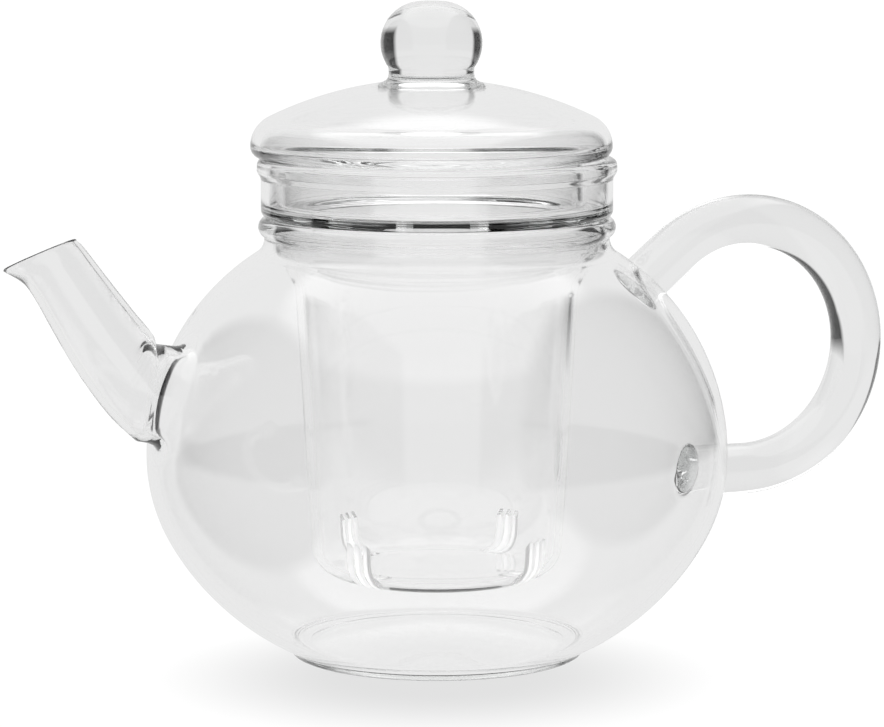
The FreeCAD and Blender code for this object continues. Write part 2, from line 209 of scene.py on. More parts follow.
class Belly:
    """The belly's outline; a distance along it is positive above the widest ring."""

    WIDEST_HEIGHT = 51.0
    UPPER_BEND = 60.5
    LOWER_BEND = 44.0
    UNDER_BEND = 67.5
    LOWER_TURN = 30.0
    SHOULDER_TURN = 57.38
    FOOT = (37.2, 1.4)

    def __init__(self):
        low, high = node_box("pot_body")
        self.radius = high[1]
        self.height = self.WIDEST_HEIGHT
        self.upper = (self.radius - self.UPPER_BEND, self.height)
        self.lower = (self.radius - self.LOWER_BEND, self.height)
        turn = math.radians(self.LOWER_TURN)
        step = self.UNDER_BEND - self.LOWER_BEND
        self.under = (self.lower[0] - step * math.cos(turn), self.height + step * math.sin(turn))
        self.lower_run = self.LOWER_BEND * turn
        foot_turn = math.atan2(self.under[1] - self.FOOT[1], self.FOOT[0] - self.under[0])
        self.lowest = -self.lower_run - self.UNDER_BEND * (foot_turn - turn)
        self.highest = self.UPPER_BEND * math.radians(self.SHOULDER_TURN)

    def at(self, run, inset):
        """The (radius, height) at a distance along the outline, a little inside it."""
        if run >= 0:
            centre, bend, turn = self.upper, self.UPPER_BEND, run / self.UPPER_BEND
        elif run >= -self.lower_run:
            centre, bend, turn = self.lower, self.LOWER_BEND, run / self.LOWER_BEND
        else:
            turn = -math.radians(self.LOWER_TURN) + (run + self.lower_run) / self.UNDER_BEND
            centre, bend = self.under, self.UNDER_BEND
        reach = bend - inset
        return centre[0] + reach * math.cos(turn), centre[1] + reach * math.sin(turn)

    def run_at(self, height):
        """The distance along the outline at a height near the widest ring."""
        rise = height - self.height
        bend = self.UPPER_BEND if rise > 0 else self.LOWER_BEND
        return bend * math.asin(rise / bend)

    def meet(self, place, heading):
        """How far a line goes from a place before it meets the upper arc, and the run there."""
        way = np.array((math.cos(heading), math.sin(heading)))
        start = np.array((place[0], place[2])) - self.upper
        along = start @ way
        reach = -along - math.sqrt(along**2 - start @ start + self.UPPER_BEND**2)
        end = start + way * reach
        return reach, self.UPPER_BEND * math.atan2(end[1], end[0])


class Skin:
    """One face of the belly's wall, as a grid of rows and turns."""

    def __init__(self, shell, belly, inset, rows):
        self.shell = shell
        self.belly = belly
        self.inset = inset
        self.rows = rows
        self.step = (belly.highest - belly.lowest) / (rows - 1)
        self.rings = [shell.hoop(*self.outline(row)) for row in range(rows)]
        self.windows = []

    def outline(self, row):
        """The (radius, height) of a row, which may lie between two rings."""
        return self.belly.at(self.belly.lowest + row * self.step, self.inset)

    def point(self, row, turn):
        """The point of the skin at a row and a turn."""
        radius, height = self.outline(row)
        angle = turn * 2 * math.pi / self.shell.turns
        return np.array((radius * math.cos(angle), radius * math.sin(angle), height))

    def normal(self, row, turn):
        """The way out of the belly at a row and a turn."""
        along = self.point(row + 0.1, turn) - self.point(row - 0.1, turn)
        around = self.point(row, turn + 0.1) - self.point(row, turn - 0.1)
        return unit(np.cross(around, along))

    def window(self, run, turn, half, wide, tall, steps=4):
        """Opens a square window and fills it in towards an oval; returns the oval's ring,
        its points and the inward directions along the skin."""
        middle = (run - self.belly.lowest) / self.step
        row = round(middle)
        turns = self.shell.turns
        cells = (
            [(k, half) for k in range(half)]
            + [(half, half - k) for k in range(2 * half)]
            + [(half - k, -half) for k in range(2 * half)]
            + [(-half, k - half) for k in range(2 * half)]
            + [(k - half, half) for k in range(half)]
        )
        edge = [self.rings[row + up][(turn + side) % turns] for up, side in cells]
        self.windows.append((row, turn, half))
        radius = self.outline(middle)[0]
        cell_width = radius * 2 * math.pi / turns
        angles = np.arange(len(cells)) * 2 * math.pi / len(cells)
        last = [
            (middle + tall / self.step * math.sin(a), turn + wide / cell_width * math.cos(a))
            for a in angles
        ]
        first = [(row + up, turn + side) for up, side in cells]
        rings = [edge]
        for share in np.linspace(0, 1, steps + 1)[1:]:
            places = [
                (a[0] + (b[0] - a[0]) * share, a[1] + (b[1] - a[1]) * share)
                for a, b in zip(first, last)
            ]
            rings.append(self.shell.ring(self.point(*place) for place in places))
        self.shell.string(rings)
        points = np.array([self.point(*place) for place in last])
        centre = self.point(middle, turn)
        inward = []
        for place, point in zip(last, points):
            normal = self.normal(*place)
            direction = centre - point
            inward.append(unit(direction - normal * (direction @ normal)))
        return rings[-1], points, np.array(inward)

    def close(self):
        """Bridges the rows, leaving the windows out."""
        turns = self.shell.turns
        for row, (lower, upper) in enumerate(zip(self.rings, self.rings[1:])):
            left_out = {
                (turn + side) % turns
                for middle, turn, half in self.windows
                if middle - half <= row < middle + half
                for side in range(-half, half)
            }
            self.shell.bridge(lower, upper, left_out)


def oval(centre, side, up, wide, tall, count):
    """Points round an oval."""
    angles = np.arange(count) * 2 * math.pi / count
    return np.array(
        [centre + side * (wide * math.cos(a)) + up * (tall * math.sin(a)) for a in angles]
    )


def flare(shell, start, inward, end, axis, steps=7, pull=0.6):
    """Rings of a smooth fillet, from a ring along the skin to a ring across a tube."""
    rings = []
    for share in np.linspace(0, 1, steps + 1)[1:-1]:
        rest = 1 - share
        points = []
        for a, lead, b in zip(start, inward, end):
            reach = np.linalg.norm(b - a) * pull
            points.append(
                a * rest**3
                + (a + lead * reach) * 3 * rest**2 * share
                + (b - axis * reach) * 3 * rest * share**2
                + b * share**3
            )
        rings.append(shell.ring(points))
    return rings


def smooth_run(values, steps):
    """A smooth curve through rows of numbers, with some steps between each two."""
    values = np.array(values, float)
    padded = np.vstack([2 * values[0] - values[1], values, 2 * values[-1] - values[-2]])
    result = []
    for index in range(1, len(padded) - 2):
        a, b, c, d = padded[index - 1 : index + 3]
        for share in np.arange(steps) / steps:
            result.append(
                0.5
                * (
                    2 * b
                    + (c - a) * share
                    + (2 * a - 5 * b + 4 * c - d) * share**2
                    + (3 * b - a - 3 * c + d) * share**3
                )
            )
    result.append(values[-1])
    return np.array(result)


# --- Pot: belly, neck, rim, foot, spout and handle in one body of glass ---

NECK_RADIUS = 43.4
NECK_BEND = 4.6
NECK_HEIGHT = 105.83
RIM_LOW = 106.3
FOOT_INSIDE = 33.0
DISH_DEPTH = 1.4
FLOOR_BEND = 12.0

# Spout sections from the weld to the mouth: lower edge, upper edge, half width.
SPOUT_SECTIONS = [
    (79.6, 58.7, 75.5, 82.7, 10.3),
    (85.4, 64.3, 75.3, 84.6, 10.2),
    (90.6, 71.0, 76.6, 86.6, 10.0),
    (95.6, 78.6, 80.4, 91.2, 9.7),
    (101.0, 88.2, 86.0, 98.4, 9.1),
    (104.6, 94.8, 90.4, 104.2, 8.6),
    (107.6, 98.9, 92.6, 107.0, 8.5),
    (112.4, 102.0, 94.3, 108.6, 9.0),
]

# The collar's middle, along the belly's outline, and the half width and half height of
# the ovals where it leaves the outer and the inner face.
COLLAR_RUN = 18.5
COLLAR_OUTSIDE = (20.5, 20.5)
COLLAR_INSIDE = (19.0, 19.4)

# The lip's share of the spout's wall, and the slant of the mouth to one side.
LIP_SHARE = 0.62
SLANT_START = 86.0
MOUTH_SLANT = 0.24


def make_spout(shell, outer, inner, settings):
    """Pulls the collar out of both faces of the wall and carries it up to the lip."""
    turn = shell.turns // 2
    half = 14
    count = 8 * half
    side = np.array((0.0, -1.0, 0.0))
    wall = settings.spout_wall / MM
    sections = smooth_run(SPOUT_SECTIONS, 6)

    def section_ring(section, inset, lift=0.0):
        lower = np.array((-section[0], 0.0, section[1]))
        upper = np.array((-section[2], 0.0, section[3]))
        up = unit(upper - lower)
        tall = np.linalg.norm(upper - lower) / 2 - inset
        out = np.cross(side, up)
        centre = (lower + upper) / 2 + out * lift
        points = oval(centre, side, up, section[4] - inset, tall, count)
        share = (section[1] - SLANT_START) / (SPOUT_SECTIONS[-1][1] - SLANT_START)
        slant = MOUTH_SLANT * max(0.0, share)
        return points + np.outer((points - centre) @ side, out) * slant, out

    rings = []
    for skin, inset, spread in ((outer, 0.0, COLLAR_OUTSIDE), (inner, wall, COLLAR_INSIDE)):
        root, points, inward = skin.window(COLLAR_RUN, turn, half, *spread)
        weld, out = section_ring(sections[0], inset)
        run = [root, *flare(shell, points, inward, weld, out)]
        thinning = np.linspace(1.0, LIP_SHARE, len(sections))
        run += [
            shell.ring(section_ring(section, inset * share)[0])
            for section, share in zip(sections, thinning)
        ]
        rings.append(run)
    lip_bend = wall * LIP_SHARE / 2
    lip = [
        shell.ring(
            section_ring(
                sections[-1], lip_bend * (1 - math.cos(turn)), lip_bend * math.sin(turn)
            )[0]
        )
        for turn in np.radians(np.arange(30, 180, 30))
    ]
    shell.string(rings[0] + lip + rings[1][::-1])


LOOP_CENTRE = (86.4, 74.4)
LOOP_BEND = 32.6
LOOP_START = 130.0


def make_handle(shell, skin, settings):
    """Bends the solid rod from its lower root round to its upper root."""
    half = 6
    count = 8 * half
    rod = settings.rod_width / MM / 2
    width = settings.weld_fillet / MM
    side = np.array((0.0, 1.0, 0.0))
    centre = np.array((LOOP_CENTRE[0], 0.0, LOOP_CENTRE[1]))
    path = []
    low = centre[2] - LOOP_BEND
    low_run = skin.belly.run_at(low)
    for reach in np.linspace(skin.belly.at(low_run, 0.0)[0] + width, LOOP_CENTRE[0], 6)[:-1]:
        path.append((np.array((reach, 0.0, low)), 0.0))
    for turn in np.radians(np.linspace(-90, LOOP_START, 100)):
        place = centre + LOOP_BEND * np.array((math.cos(turn), 0.0, math.sin(turn)))
        path.append((place, turn + math.pi / 2))
    place, heading = path[-1]
    limb, high_run = skin.belly.meet(place, heading)
    for reach in np.linspace(0, limb - width, 5)[1:]:
        path.append((place + reach * np.array((math.cos(heading), 0.0, math.sin(heading))), heading))

    tube = []
    for place, heading in path:
        up = np.array((-math.sin(heading), 0.0, math.cos(heading)))
        tube.append(oval(place, side, up, rod, rod, count))
    lower = skin.window(low_run, 0, half, rod + width, rod + width)
    upper = skin.window(high_run, 0, half, rod + width, rod + width)
    along = np.array((1.0, 0.0, 0.0))
    back = -np.array((math.cos(heading), 0.0, math.sin(heading)))
    mirrored = (-np.arange(count)) % count
    rings = [lower[0], *flare(shell, lower[1], lower[2], tube[0], along)]
    rings += [shell.ring(points) for points in tube]
    last = flare(shell, upper[1][mirrored], upper[2][mirrored], tube[-1], back)
    rings += last[::-1]
    rings.append([upper[0][index] for index in mirrored])
    shell.string(rings)


def dish(lift):
    """The pot's shallow raised floor, from the axis out to the foot."""
    reaches = np.linspace(0.0, FOOT_INSIDE, 14)
    return [
        (reach, lift + DISH_DEPTH * (0.5 + 0.5 * math.cos(math.pi * reach / FOOT_INSIDE)))
        for reach in reaches
    ]


def make_pot(settings, material):
    """The whole pot as one closed form."""
    shell = Shell(settings.turns)
    belly = Belly()
    wall = settings.wall / MM
    top = node_box("pot_body")[1][2]
    rows = 79
    outer = Skin(shell, belly, 0.0, rows)
    inner = Skin(shell, belly, wall, rows)
    make_spout(shell, outer, inner, settings)
    make_handle(shell, outer, settings)
    outer.close()
    inner.close()

    foot = [*dish(0.0), *softened([(FOOT_INSIDE + 0.6, 0.0), (36.9, 0.0, 1.0), (37.2, 1.4)])]
    shoulder = belly.at(belly.highest, 0.0)
    bend = (NECK_RADIUS + NECK_BEND, NECK_HEIGHT)
    bead = (NECK_RADIUS - 1.1, (RIM_LOW + top) / 2)
    neck = [
        *arc(bend, NECK_BEND, 180.0 + belly.SHOULDER_TURN, 180.0, 8.0)[1:],
        (NECK_RADIUS + 0.1, RIM_LOW),
        *arc(bead, 2.6, -50.0, 60.0, 10.0),
        (NECK_RADIUS - 0.6, top),
        (NECK_RADIUS - wall + 0.9, top),
        (NECK_RADIUS - wall + 0.25, top - 0.3),
        (NECK_RADIUS - wall, top - 1.0),
        *arc(bend, NECK_BEND + wall, 180.0, 180.0 + belly.SHOULDER_TURN, 6.0)[:-1],
    ]
    floor = dish(wall)[::-1]
    inside = [*softened([belly.at(belly.lowest, wall), (*floor[0], FLOOR_BEND), floor[1]]), *floor[2:]]

    under = [shell.hoop(*point) for point in eased(foot)[:-1]]
    shell.string([*under, outer.rings[0]])
    neck = eased([shoulder, *neck])[1:]
    shell.string([outer.rings[-1], *[shell.hoop(*point) for point in neck], inner.rings[-1]])
    shell.string([inner.rings[0], *[shell.hoop(*point) for point in eased(inside)[1:]]])
    return shell.make("pot_glass", material)


# --- Infuser ---

SLIT_GROUPS = 4
SLITS_IN_GROUP = 3
BLADE_REACH = 43.5
BLADE_HEIGHT = 11.5
BLADE_RADIUS = 23.5


def infuser_outline(wall):
    """The infuser's closed outline, from its underside round the cuff to its floor."""
    low, high = node_box("infuser")
    floor = low[2]
    top = high[2]
    seat = node_box("pot_body")[1][2] + 0.2
    cuff = 44.2
    plug = 40.4
    return softened(
        [
            (0.0, floor),
            (31.4, floor, 7.0),
            (35.6, 94.0, 8.0),
            (40.3, 101.4, 5.0),
            (plug, seat, 1.0),
            (cuff, seat, 1.8),
            (cuff, 121.0, 1.0),
            (45.2, 122.6, 1.2),
            (45.1, top, 1.6),
            (cuff - wall, top, 0.9),
            (cuff - wall, seat + wall, 1.7),
            (plug - wall, seat + wall, 1.9),
            (38.3, 102.2, 5.0),
            (35.6 - wall, 94.4, 8.0),
            (31.4 - wall, floor + wall, 5.0),
            (0.0, floor + wall),
        ]
    )


def saw_blades(settings):
    """Twelve thin discs that cut the slits."""
    shell = Shell(72)
    width = settings.slit_width / MM / 2
    pitch = settings.slit_pitch / MM
    up = np.array((0.0, 0.0, 1.0))
    for group in range(SLIT_GROUPS):
        turn = settings.slit_turn + group * 2 * math.pi / SLIT_GROUPS
        out = np.array((math.cos(turn), math.sin(turn), 0.0))
        across = np.array((-math.sin(turn), math.cos(turn), 0.0))
        for cut in range(SLITS_IN_GROUP):
            middle = out * BLADE_REACH + across * pitch * (cut - 1) + up * BLADE_HEIGHT
            faces = [
                shell.ring(
                    oval(middle + across * edge, out, up, BLADE_RADIUS, BLADE_RADIUS, shell.turns)
                )
                for edge in (-width, width)
            ]
            shell.bridge(*faces)
            for ring, edge in zip(faces, (-width, width)):
                shell.bridge(shell.ring([middle + across * edge]), ring)
    return shell


def make_infuser(settings, clear, ground):
    """The infuser with its sawn slits, whose faces are left ground."""
    shell = Shell(192)
    shell.string([shell.hoop(*point) for point in eased(infuser_outline(settings.wall / MM))])
    item = shell.make("infuser_glass", clear)
    blades = saw_blades(settings).make("saw_blades", ground)
    cut = item.modifiers.new("slits", "BOOLEAN")
    cut.operation = "DIFFERENCE"
    cut.solver = "EXACT"
    cut.object = blades
    evaluated = item.evaluated_get(bpy.context.evaluated_depsgraph_get())
    mesh = bpy.data.meshes.new_from_object(evaluated)
    item.modifiers.clear()
    item.data = mesh
    bpy.data.objects.remove(blades)
    mesh.materials.clear()
    mesh.materials.append(clear)
    mesh.materials.append(ground)
    width = settings.slit_width / 2
    for face in mesh.polygons:
        face.material_index = 0
        for group in range(SLIT_GROUPS):
            turn = settings.slit_turn + group * 2 * math.pi / SLIT_GROUPS
            across = Vector((-math.sin(turn), math.cos(turn), 0.0))
            out = Vector((math.cos(turn), math.sin(turn), 0.0))
            if face.center.dot(out) < 0.015 or abs(face.normal.dot(across)) < 0.98:
                continue
            place = face.center.dot(across)
            nearest = min(
                abs(abs(place - settings.slit_pitch * (cut - 1)) - width)
                for cut in range(SLITS_IN_GROUP)
            )
            if nearest < 2e-5:
                face.material_index = 1
    mesh.set_sharp_from_angle(angle=math.radians(38))
    return item


# --- Lid: dome, brim, skirt and solid knob in one body of glass ---


def make_lid(settings, material):
    """The lid as one closed form."""
    low, high = node_box("lid_dome")
    knob_top = node_box("lid_knob")[1][2]
    skirt_bottom = low[2]
    dome_top = high[2]
    wall = settings.wall / MM
    skirt_wall = settings.skirt_wall / MM
    bend = 93.6
    centre = (0.0, dome_top - bend)
    knob_bend = 10.45
    ball = (2.3, knob_top - knob_bend)
    brim = (37.4, dome_top - 16.6)
    hem = brim[1] - 2.8
    brim_turn = 64.8
    brim_bend = 8.0
    skirt = 38.75
    dome_end = math.degrees(math.acos(40.8 / bend))
    dome_start = math.degrees(math.acos(14.2 / bend))
    inner_end = math.degrees(math.acos(39.78 / (bend - wall)))
    outline = [
        (0.0, knob_top),
        *arc(ball, knob_bend, 90.0, -36.0, 8.0),
        (10.7, dome_top + 1.5),
        (10.85, dome_top + 0.6),
        (11.3, dome_top - 0.15),
        (12.3, dome_top - 0.7),
        *arc(centre, bend, dome_start, dome_end, 1.6),
        *arc(brim, brim_bend, brim_turn, 0.0, 7.0)[1:],
        *arc((42.5, brim[1]), 2.9, 0.0, -80.0, 12.0)[1:],
    ]
    outline += softened(
        [
            (42.0, hem),
            (skirt, hem, 1.0),
            (skirt, skirt_bottom, 0.8),
            (skirt - skirt_wall, skirt_bottom, 0.8),
            (skirt - skirt_wall, hem + wall, 1.2),
            (42.4, hem + wall),
        ]
    )
    outline += arc(brim, brim_bend - wall, 0.0, brim_turn, 9.0)
    outline += arc(centre, bend - wall, inner_end, 90.0, 2.0)[1:-1]
    outline.append((0.0, dome_top - wall))
    shell = Shell(192)
    shell.string([shell.hoop(*point) for point in eased(outline)])
    shell.move((low + high) / 2)
    return shell.make("lid_glass", material)


# --- Glass ---


def glass(name, settings, ripple):
    """Clear borosilicate: a faint tint with depth and a slow ripple."""
    material = bpy.data.materials.new(name)
    material.use_nodes = True
    nodes = material.node_tree.nodes
    links = material.node_tree.links
    shader = nodes["Principled BSDF"]
    shader.inputs["Base Color"].default_value = (*settings.clear_color, 1.0)
    shader.inputs["Roughness"].default_value = 0.0
    shader.inputs["IOR"].default_value = settings.refraction
    shader.inputs["Transmission Weight"].default_value = 1.0
    place = nodes.new("ShaderNodeTexCoord")
    wave = nodes.new("ShaderNodeTexNoise")
    wave.inputs["Scale"].default_value = settings.ripple_scale
    wave.inputs["Detail"].default_value = 1.5
    wave.inputs["Roughness"].default_value = 0.4
    bump = nodes.new("ShaderNodeBump")
    bump.inputs["Strength"].default_value = ripple
    bump.inputs["Distance"].default_value = 0.001
    links.new(place.outputs["Object"], wave.inputs["Vector"])
    links.new(wave.outputs["Fac"], bump.inputs["Height"])
    links.new(bump.outputs["Normal"], shader.inputs["Normal"])
    depth = nodes.new("ShaderNodeVolumeAbsorption")
    depth.inputs["Color"].default_value = (*settings.depth_color, 1.0)
    depth.inputs["Density"].default_value = settings.depth_density
    links.new(depth.outputs["Volume"], nodes["Material Output"].inputs["Volume"])
    return material


def ground_glass_painted_glow(settings):
    """The grey-white faces that a saw leaves in glass, made lighter by a painted glow."""
    material = bpy.data.materials.new("ground_glass_painted_glow")
    material.use_nodes = True
    nodes = material.node_tree.nodes
    links = material.node_tree.links
    shader = nodes["Principled BSDF"]
    shader.inputs["Roughness"].default_value = 0.75
    shader.inputs["IOR"].default_value = settings.refraction
    shader.inputs["Transmission Weight"].default_value = 0.3
    # The white emission is painted light: a glow that makes the sawn faces lighter than the lamps alone
    # would.
    shader.inputs["Emission Color"].default_value = (1.0, 1.0, 1.0, 1.0)
    shader.inputs["Emission Strength"].default_value = 0.35
    place = nodes.new("ShaderNodeTexCoord")
    grain = nodes.new("ShaderNodeTexNoise")
    grain.inputs["Scale"].default_value = 2500.0
    grain.inputs["Detail"].default_value = 3.0
    tone = nodes.new("ShaderNodeValToRGB")
    tone.color_ramp.elements[0].color = (0.8, 0.8, 0.8, 1.0)
    tone.color_ramp.elements[1].color = (0.94, 0.94, 0.94, 1.0)
    bump = nodes.new("ShaderNodeBump")
    bump.inputs["Strength"].default_value = 0.35
    bump.inputs["Distance"].default_value = 0.0001
    links.new(place.outputs["Object"], grain.inputs["Vector"])
    links.new(grain.outputs["Fac"], tone.inputs["Fac"])
    links.new(tone.outputs["Color"], shader.inputs["Base Color"])
    links.new(grain.outputs["Fac"], bump.inputs["Height"])
    links.new(bump.outputs["Normal"], shader.inputs["Normal"])
    return material


# --- Stage ---


def around(turn, distance, height):
    """A place at a turn about the axis, measured from the camera's side."""
    return (distance * math.sin(turn), -distance * math.cos(turn), height)


def tones_along(tree, source, direction, stops):
    """Grey tones by how far a direction from the pot leans along another."""
    lean = tree.nodes.new("ShaderNodeVectorMath")
    lean.operation = "DOT_PRODUCT"
    lean.inputs[1].default_value = direction
    spread = tree.nodes.new("ShaderNodeMapRange")
    spread.inputs["From Min"].default_value = -1.0
    ramp = tree.nodes.new("ShaderNodeValToRGB")
    elements = ramp.color_ramp.elements
    for element, (lean_at, value) in zip(elements, (stops[0], stops[-1])):
        element.position = (lean_at + 1) / 2
        element.color = (value, value, value, 1.0)
    for lean_at, value in stops[1:-1]:
        elements.new((lean_at + 1) / 2).color = (value, value, value, 1.0)
    tree.links.new(source, lean.inputs[0])
    tree.links.new(lean.outputs["Value"], spread.inputs["Value"])
    tree.links.new(spread.outputs["Result"], ramp.inputs["Fac"])
    return ramp.outputs["Color"]


def combined(tree, operation, first, second):
    """Two tones multiplied, or the lighter of them."""
    both = tree.nodes.new("ShaderNodeVectorMath")
    both.operation = operation
    tree.links.new(first, both.inputs[0])
    tree.links.new(second, both.inputs[1])
    return both.outputs["Vector"]


# Tones by how far a direction leans to the right, away from the camera and upwards; the last
# row keeps the table near the pot light on every side.
SIDE_TONES = ((-0.71, 0.04), (-0.64, 1.0), (0.50, 1.0), (0.58, 0.04))
DEPTH_TONES = ((-1.0, 0.66), (-0.2, 0.66), (0.5, 0.83), (1.0, 0.83))
HEIGHT_TONES = ((0.0, 1.0), (0.68, 1.0), (0.76, 2.2), (1.0, 2.2))
NEAR_TABLE_TONES = ((-1.0, 1.0), (-0.17, 1.0), (-0.10, 0.0), (1.0, 0.0))

# A ray that has met more surfaces than this doesn't see the dark sides.
DEEP_RAY = 9.5


def make_stage(settings):
    """The glowing table with a painted shadow under the pot, the surroundings and the camera."""
    scene = bpy.context.scene
    turn = settings.camera_turn
    right = (math.cos(turn), math.sin(turn), 0.0)
    away = (-math.sin(turn), math.cos(turn), 0.0)
    table = bpy.data.meshes.new("table")
    half = 6.0
    table.from_pydata(
        [(-half, -half, 0), (half, -half, 0), (half, half, 0), (-half, half, 0)], [], [(0, 1, 2, 3)]
    )
    floor = bpy.data.objects.new("table", table)
    scene.collection.objects.link(floor)
    material = bpy.data.materials.new("table_white_painted_shadow")
    material.use_nodes = True
    nodes = material.node_tree.nodes
    links = material.node_tree.links
    nodes.remove(nodes["Principled BSDF"])
    glow = nodes.new("ShaderNodeEmission")
    glow.inputs["Strength"].default_value = settings.table_glow
    # Painted shadow: for camera rays the table's glow fades towards the pot along a radial gradient
    # centred 3 cm towards the camera, in place of a traced shadow.
    top = nodes.new("ShaderNodeEmission")
    place = nodes.new("ShaderNodeTexCoord")
    painted_shadow_centre = nodes.new("ShaderNodeMapping")
    painted_shadow_centre.vector_type = "TEXTURE"
    painted_shadow_centre.inputs["Location"].default_value = around(settings.camera_turn, 0.03, 0.0)
    reach = nodes.new("ShaderNodeVectorMath")
    reach.operation = "LENGTH"
    painted_shadow_fade = nodes.new("ShaderNodeMapRange")
    painted_shadow_fade.interpolation_type = "SMOOTHSTEP"
    painted_shadow_fade.inputs["From Min"].default_value = 0.02
    painted_shadow_fade.inputs["From Max"].default_value = 0.085
    painted_shadow_fade.inputs["To Min"].default_value = 0.76
    painted_shadow_fade.inputs["To Max"].default_value = 1.05
    path = nodes.new("ShaderNodeLightPath")
    mixed = nodes.new("ShaderNodeMixShader")
    below = nodes.new("ShaderNodeVectorMath")
    below.operation = "SUBTRACT"
    below.inputs[1].default_value = (0.0, 0.0, 0.08)
    direction = nodes.new("ShaderNodeVectorMath")
    direction.operation = "NORMALIZE"
    links.new(place.outputs["Object"], below.inputs[0])
    links.new(below.outputs["Vector"], direction.inputs[0])
    tree = material.node_tree
    source = direction.outputs["Vector"]
    sides = tones_along(tree, source, right, SIDE_TONES)
    near = tones_along(tree, source, (0.0, 0.0, 1.0), NEAR_TABLE_TONES)
    links.new(combined(tree, "MAXIMUM", sides, near), glow.inputs["Color"])
    links.new(place.outputs["Object"], painted_shadow_centre.inputs["Vector"])
    links.new(painted_shadow_centre.outputs["Vector"], reach.inputs[0])
    links.new(reach.outputs["Value"], painted_shadow_fade.inputs["Value"])
    links.new(painted_shadow_fade.outputs["Result"], top.inputs["Strength"])
    links.new(path.outputs["Is Camera Ray"], mixed.inputs["Fac"])
    links.new(glow.outputs["Emission"], mixed.inputs[1])
    links.new(top.outputs["Emission"], mixed.inputs[2])
    links.new(mixed.outputs["Shader"], nodes["Material Output"].inputs["Surface"])
    table.materials.append(material)

    world = bpy.data.worlds.new("studio")
    world.use_nodes = True
    nodes = world.node_tree.nodes
    links = world.node_tree.links
    lit = nodes["Background"]
    lit.inputs["Strength"].default_value = settings.backdrop
    seen = nodes.new("ShaderNodeBackground")
    seen.inputs["Color"].default_value = (1.0, 1.0, 1.0, 1.0)
    seen.inputs["Strength"].default_value = 1.2
    place = nodes.new("ShaderNodeTexCoord")
    tree = world.node_tree
    source = place.outputs["Generated"]
    sides = tones_along(tree, source, right, SIDE_TONES)
    depths = tones_along(tree, source, away, DEPTH_TONES)
    heights = tones_along(tree, source, (0.0, 0.0, 1.0), HEIGHT_TONES)
    level = combined(tree, "MULTIPLY", sides, depths)
    path = nodes.new("ShaderNodeLightPath")
    mixed = nodes.new("ShaderNodeMixShader")
    clear = combined(tree, "MULTIPLY", level, heights)
    deep = nodes.new("ShaderNodeMath")
    deep.operation = "GREATER_THAN"
    deep.inputs[1].default_value = DEEP_RAY
    links.new(path.outputs["Ray Depth"], deep.inputs[0])
    dim = combined(tree, "MULTIPLY", deep.outputs["Value"], depths)
    links.new(combined(tree, "MAXIMUM", clear, dim), lit.inputs["Color"])
    links.new(path.outputs["Is Camera Ray"], mixed.inputs["Fac"])
    links.new(lit.outputs["Background"], mixed.inputs[1])
    links.new(seen.outputs["Background"], mixed.inputs[2])
    links.new(mixed.outputs["Shader"], nodes["World Output"].inputs["Surface"])
    scene.world = world

    data = bpy.data.cameras.new("camera")
    camera = bpy.data.objects.new("camera", data)
    scene.collection.objects.link(camera)
    data.lens = settings.lens
    data.sensor_width = 36.0
    data.clip_start = 0.01
    data.clip_end = 50.0
    place = Vector(around(turn, settings.camera_distance, settings.camera_height))
    camera.location = place
    target = Vector((0.0, 0.0, settings.aim_height)) + Vector(right) * settings.aim_side
    camera.rotation_mode = "QUATERNION"
    camera.rotation_quaternion = (target - place).to_track_quat("-Z", "Y")
    scene.camera = camera
    scene.view_settings.view_transform = "Standard"
    scene.cycles.max_bounces = 40
    scene.cycles.transmission_bounces = 40
    scene.cycles.glossy_bounces = 16
    scene.cycles.diffuse_bounces = 4


# --- Settings ---


class TeapotPot(bpy.types.PropertyGroup):
    """Sizes of the pot."""

    wall: FloatProperty(
        name="Wall", description="Thickness of the pot's wall", default=0.0022, unit="LENGTH"
    )
    spout_wall: FloatProperty(
        name="Spout wall", description="Thickness of the spout's wall", default=0.0018, unit="LENGTH"
    )
    rod_width: FloatProperty(
        name="Rod width", description="Diameter of the handle's rod", default=0.0132, unit="LENGTH"
    )
    weld_fillet: FloatProperty(
        name="Weld fillet", description="Size of the fillet round a weld", default=0.0022, unit="LENGTH"
    )
    turns: IntProperty(name="Turns", description="Faces round the pot", default=240, min=48)


class TeapotInfuser(bpy.types.PropertyGroup):
    """Sizes of the infuser."""

    wall: FloatProperty(
        name="Wall", description="Thickness of the infuser's wall", default=0.002, unit="LENGTH"
    )
    slit_width: FloatProperty(
        name="Slit width", description="Width of a sawn slit", default=0.0011, unit="LENGTH"
    )
    slit_pitch: FloatProperty(
        name="Slit pitch", description="Distance between slits", default=0.0026, unit="LENGTH"
    )
    slit_turn: FloatProperty(
        name="Slit turn",
        description="Direction of the first group of slits",
        default=math.radians(29.5),
        subtype="ANGLE",
    )


class TeapotLid(bpy.types.PropertyGroup):
    """Sizes of the lid."""

    wall: FloatProperty(
        name="Wall", description="Thickness of the dome", default=0.0024, unit="LENGTH"
    )
    skirt_wall: FloatProperty(
        name="Skirt wall", description="Thickness of the skirt", default=0.002, unit="LENGTH"
    )


class TeapotGlass(bpy.types.PropertyGroup):
    """Finish of the glass."""

    clear_color: FloatVectorProperty(
        name="Clear colour",
        description="Colour of light that has passed through a face",
        subtype="COLOR",
        default=(1.0, 1.0, 1.0),
    )
    depth_color: FloatVectorProperty(
        name="Depth colour",
        description="Colour that thick glass turns",
        subtype="COLOR",
        default=(0.84, 0.85, 0.845),
    )
    depth_density: FloatProperty(
        name="Depth density", description="How fast thick glass darkens", default=10.0
    )
    refraction: FloatProperty(name="Refraction", description="Refractive index", default=1.47)
    ripple_scale: FloatProperty(
        name="Ripple scale", description="Ripples in a metre of the blown wall", default=22.0
    )


